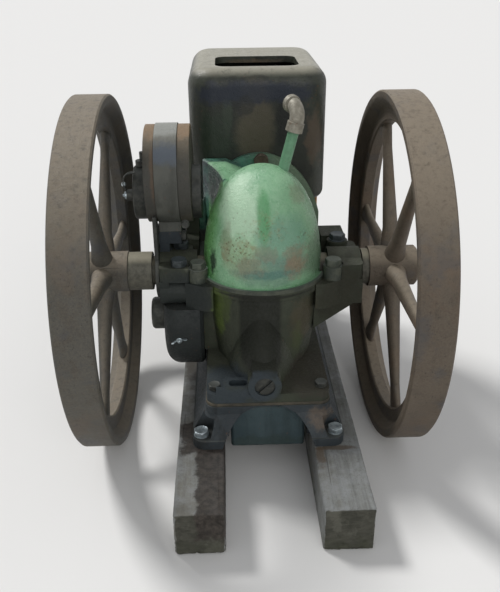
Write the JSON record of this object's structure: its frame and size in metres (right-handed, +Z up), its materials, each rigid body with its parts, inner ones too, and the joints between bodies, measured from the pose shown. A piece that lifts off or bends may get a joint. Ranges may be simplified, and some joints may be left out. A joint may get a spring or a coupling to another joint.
{
  "type": "hit-and-miss engine",
  "caption": "Old stationary petrol engine on wooden skids: two spoked flywheels, domed green crankcase cover, magneto, open water hopper and breather pipe.",
  "frame": {"origin": "on the ground, at the centre of the footprint of the whole engine's bounding box", "axes": "+X to the engine's right seen from the crankcase end, along the crankshaft; +Y back towards the cylinder head, along the skids; +Z up"},
  "size_m": [0.4514, 0.719, 0.475],
  "materials": {
    "weathered_wood": "bare, weathered and oil stained",
    "blue_grey_iron": "old, oily and rusty",
    "zinc_steel": "bright zinc",
    "tank_paint": "old, oily and rusty",
    "rusty_gasket": "rust stained",
    "olive_iron": "old, oily and rusty",
    "dark_steel": "old, oily and rusty",
    "light_green_paint": "worn light green paint with rust patches",
    "rusty_steel": "old, oily and rusty",
    "grey_steel": "old, oily and rusty",
    "rust_brown_iron": "old, oily and rusty",
    "black_green_iron": "old, oily and rusty",
    "spark_plug_body": "old, oily and rusty",
    "line_brass": "old, oily and rusty",
    "shaft_steel": "old, oily and rusty",
    "rusty_wheel_iron": "old, oily and rusty"
  },
  "bodies": {
    "engine": {"skid_left": "weathered_wood", "skid_right": "weathered_wood", "sub_base": "blue_grey_iron", "base_bolts": "zinc_steel", "fuel_tank": "tank_paint", "base_gasket": "rusty_gasket", "crankcase": "olive_iron", "bed_bolts": "dark_steel", "oil_plug": "dark_steel", "crankcase_cover": "light_green_paint", "cover_bolts": "rusty_steel", "flange_bolt": "rusty_steel", "breather_pipe": "light_green_paint", "breather_elbow": "rusty_steel", "bearing_cap_left": "olive_iron", "bearing_cap_right": "olive_iron", "cap_bolts": "rusty_steel", "gear_case": "olive_iron", "governor_disc": "dark_steel", "magneto_body": "grey_steel", "magneto_plates": "rust_brown_iron", "magneto_cap": "dark_steel", "magneto_drive": "dark_steel", "magneto_terminals": "dark_steel", "guard_plate": "dark_steel", "magneto_bracket": "olive_iron", "water_hopper": "black_green_iron", "cylinder_head": "black_green_iron", "head_nuts": "rusty_steel", "pushrod": "dark_steel", "rocker_arm": "olive_iron", "rocker_bracket": "olive_iron", "valve_stems": "dark_steel", "valve_springs": "dark_steel", "spark_plug": "spark_plug_body", "mixer": "rusty_steel", "fuel_line": "line_brass", "exhaust_stub": "rust_brown_iron"},
    "crank": {"crankshaft": "shaft_steel", "flywheel_left": "rusty_wheel_iron", "flywheel_right": "rusty_wheel_iron", "shaft_sleeve": "shaft_steel", "hub_keys": "shaft_steel"}
  },
  "joints": [
    {"name": "crank_spin", "type": "hinge", "parent": "engine", "child": "crank", "pos_m": [0.01975, -0.0805, 0.232], "axis": [1, 0, 0], "continuous": true}
  ]
}
